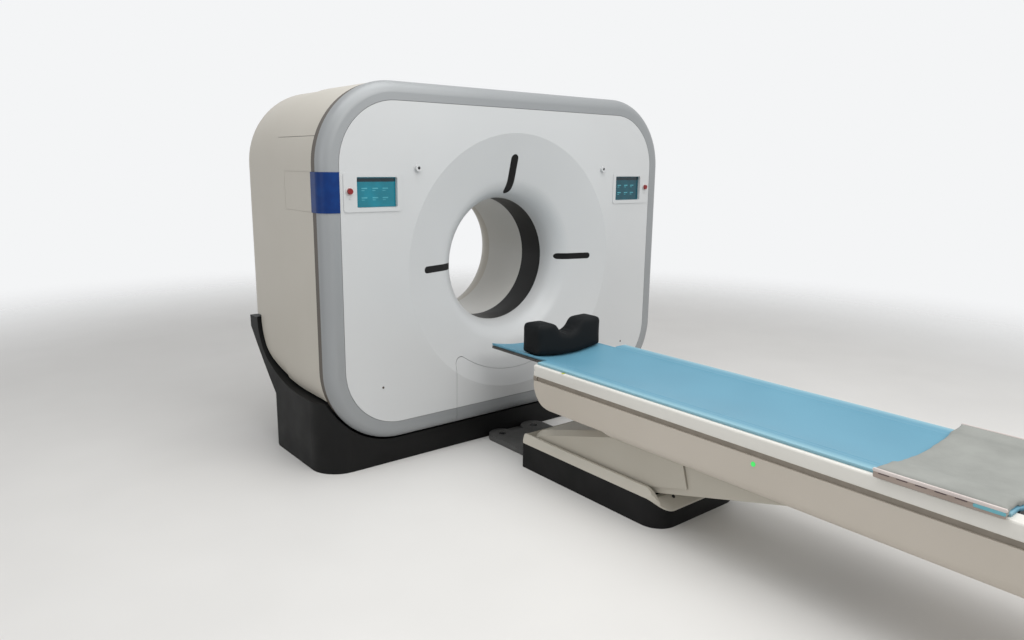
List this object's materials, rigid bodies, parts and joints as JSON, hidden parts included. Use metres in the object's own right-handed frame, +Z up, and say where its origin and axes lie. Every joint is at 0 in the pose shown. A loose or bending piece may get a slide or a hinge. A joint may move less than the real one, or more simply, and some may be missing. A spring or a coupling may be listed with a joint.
{
  "type": "ct scanner",
  "caption": "Medical CT scanner: round-bore gantry with a rotating scan ring, touch panels and a motorised patient table on a parallelogram lift.",
  "frame": {"origin": "on the floor, straight under the point where the bore axis meets the scan plane", "axes": "+Y along the bore axis from the table into the gantry, +X to the right seen from the table, +Z up"},
  "size_m": [2.33, 3.912, 1.915],
  "materials": {
    "gantry_base": "textured powder coat",
    "front_cover": "satin",
    "lower_front_cover": "satin",
    "front_bezel": "silver paint",
    "lower_bezel": "silver paint",
    "shadow_strip": "matt",
    "blue_panel": "gloss",
    "side_cover_left": "satin",
    "side_cover_right": "satin",
    "top_cover": "satin",
    "rear_cover": "satin",
    "tunnel_liner": "satin",
    "scan_window": "gloss",
    "laser_windows": "gloss",
    "touch_panel_left": "satin",
    "touch_panel_right": "satin",
    "touch_screens": "gloss",
    "patient_cameras": "satin",
    "stop_button_left": "gloss",
    "stop_button_right": "gloss",
    "stator_frame": "powder coat",
    "bearing_outer": "ground",
    "bearing_inner": "ground",
    "brush_block": "moulded",
    "drive_motor": "painted",
    "drive_belt": "matt",
    "motor_pulley": "turned",
    "fan_frame": "moulded",
    "fan_rotor": "moulded",
    "power_unit": "powder coat",
    "rotor_drum": "cast and machined",
    "xray_tube": "painted",
    "collimator": "machined",
    "detector_arc": "anodised",
    "hv_generator": "painted",
    "heat_exchanger": "mill",
    "counterweights": "painted",
    "slip_ring": "turned",
    "floor_bridge": "powder coat",
    "anchor_bolts": "zinc plated",
    "table_plinth": "powder coat",
    "plinth_cap": "satin",
    "base_pins": "ground",
    "lower_arm": "painted",
    "lower_arm_cover": "satin",
    "upper_arm": "painted",
    "upper_arm_cover": "satin",
    "actuator_barrel": "painted",
    "actuator_rod": "hard chrome",
    "carriage_frame": "painted",
    "carriage_pins": "ground",
    "table_body": "satin",
    "groove_trims": "matt",
    "side_rails": "gloss",
    "status_lamp": "gloss",
    "tabletop": "satin",
    "drive_roller": "matt",
    "mattress": "coated cloth",
    "head_support": "coated foam",
    "foot_mat": "coated cloth"
  },
  "bodies": {
    "base": {"gantry_base": "gantry_base", "front_cover": "front_cover", "lower_front_cover": "lower_front_cover", "front_bezel": "front_bezel", "lower_bezel": "lower_bezel", "shadow_strip": "shadow_strip", "blue_panel": "blue_panel", "side_cover_left": "side_cover_left", "side_cover_right": "side_cover_right", "top_cover": "top_cover", "rear_cover": "rear_cover", "tunnel_liner": "tunnel_liner", "scan_window": "scan_window", "laser_windows": "laser_windows", "touch_panel_left": "touch_panel_left", "touch_panel_right": "touch_panel_right", "touch_screens": "touch_screens", "patient_cameras": "patient_cameras", "stator_frame": "stator_frame", "bearing_outer": "bearing_outer", "brush_block": "brush_block", "drive_motor": "drive_motor", "drive_belt": "drive_belt", "fan_frame": "fan_frame", "power_unit": "power_unit", "floor_bridge": "floor_bridge", "anchor_bolts": "anchor_bolts", "table_plinth": "table_plinth", "plinth_cap": "plinth_cap", "base_pins": "base_pins"},
    "scan_rotor": {"rotor_drum": "rotor_drum", "bearing_inner": "bearing_inner", "xray_tube": "xray_tube", "collimator": "collimator", "detector_arc": "detector_arc", "hv_generator": "hv_generator", "heat_exchanger": "heat_exchanger", "counterweights": "counterweights", "slip_ring": "slip_ring"},
    "motor_pulley": {"motor_pulley": "motor_pulley"},
    "fan_rotor": {"fan_rotor": "fan_rotor"},
    "stop_button_left": {"stop_button_left": "stop_button_left"},
    "stop_button_right": {"stop_button_right": "stop_button_right"},
    "lower_arm": {"lower_arm": "lower_arm", "lower_arm_cover": "lower_arm_cover"},
    "upper_arm": {"upper_arm": "upper_arm", "upper_arm_cover": "upper_arm_cover"},
    "actuator_barrel": {"actuator_barrel": "actuator_barrel"},
    "actuator_rod": {"actuator_rod": "actuator_rod"},
    "carriage": {"carriage_frame": "carriage_frame", "carriage_pins": "carriage_pins", "table_body": "table_body", "groove_trims": "groove_trims", "side_rails": "side_rails", "status_lamp": "status_lamp"},
    "tabletop": {"tabletop": "tabletop", "mattress": "mattress", "head_support": "head_support", "foot_mat": "foot_mat"},
    "drive_roller": {"drive_roller": "drive_roller"}
  },
  "joints": [
    {"name": "scan_ring_spin", "type": "hinge", "parent": "base", "child": "scan_rotor", "pos_m": [0, 0, 0.995], "axis": [0, 1, 0], "continuous": true},
    {"name": "motor_pulley_spin", "type": "hinge", "parent": "base", "child": "motor_pulley", "pos_m": [-0.8, 0, 0.3], "axis": [0, 1, 0], "continuous": true},
    {"name": "exhaust_fan_spin", "type": "hinge", "parent": "base", "child": "fan_rotor", "pos_m": [0.42, 0.02, 1.87], "axis": [0, 0, 1], "continuous": true},
    {"name": "stop_button_left_press", "type": "slide", "parent": "base", "child": "stop_button_left", "axis": [0, 1, 0], "range_m": [0, 0.006]},
    {"name": "stop_button_right_press", "type": "slide", "parent": "base", "child": "stop_button_right", "axis": [0, 1, 0], "range_m": [0, 0.006]},
    {"name": "table_lift", "type": "hinge", "parent": "base", "child": "lower_arm", "pos_m": [0, -0.84, 0.1], "axis": [-1, 0, 0], "range_deg": [0, 24.4]},
    {"name": "upper_arm_swing", "type": "hinge", "parent": "base", "child": "upper_arm", "pos_m": [0, -1.06, 0.1], "axis": [-1, 0, 0], "range_deg": [0, 24.4]},
    {"name": "carriage_level", "type": "hinge", "parent": "lower_arm", "child": "carriage", "pos_m": [0, -1.94764, 0.40926], "axis": [-1, 0, 0], "range_deg": [-24.4, 0]},
    {"name": "actuator_swing", "type": "hinge", "parent": "base", "child": "actuator_barrel", "pos_m": [0, -1.3053, 0.0351], "axis": [-1, 0, 0], "range_deg": [0, 12.3]},
    {"name": "actuator_extend", "type": "slide", "parent": "actuator_barrel", "child": "actuator_rod", "axis": [0, 0.1323, 0.9912], "range_m": [0, 0.19]},
    {"name": "tabletop_slide", "type": "slide", "parent": "carriage", "child": "tabletop", "axis": [0, 1, 0], "range_m": [-0.35, 0.1]},
    {"name": "drive_roller_spin", "type": "hinge", "parent": "carriage", "child": "drive_roller", "pos_m": [0, -1.15, 0.5017], "axis": [-1, 0, 0], "range_deg": [-680, 200]}
  ],
  "couplings": [
    {"joint": "motor_pulley_spin", "follows": "scan_ring_spin", "ratio": 12.698},
    {"joint": "upper_arm_swing", "follows": "table_lift", "ratio": 1},
    {"joint": "carriage_level", "follows": "table_lift", "ratio": -1},
    {"joint": "actuator_swing", "follows": "table_lift", "ratio": 0.4987},
    {"joint": "actuator_extend", "follows": "table_lift", "m_per_rad": 0.4405},
    {"joint": "drive_roller_spin", "follows": "tabletop_slide", "rad_per_m": 33.33}
  ]
}
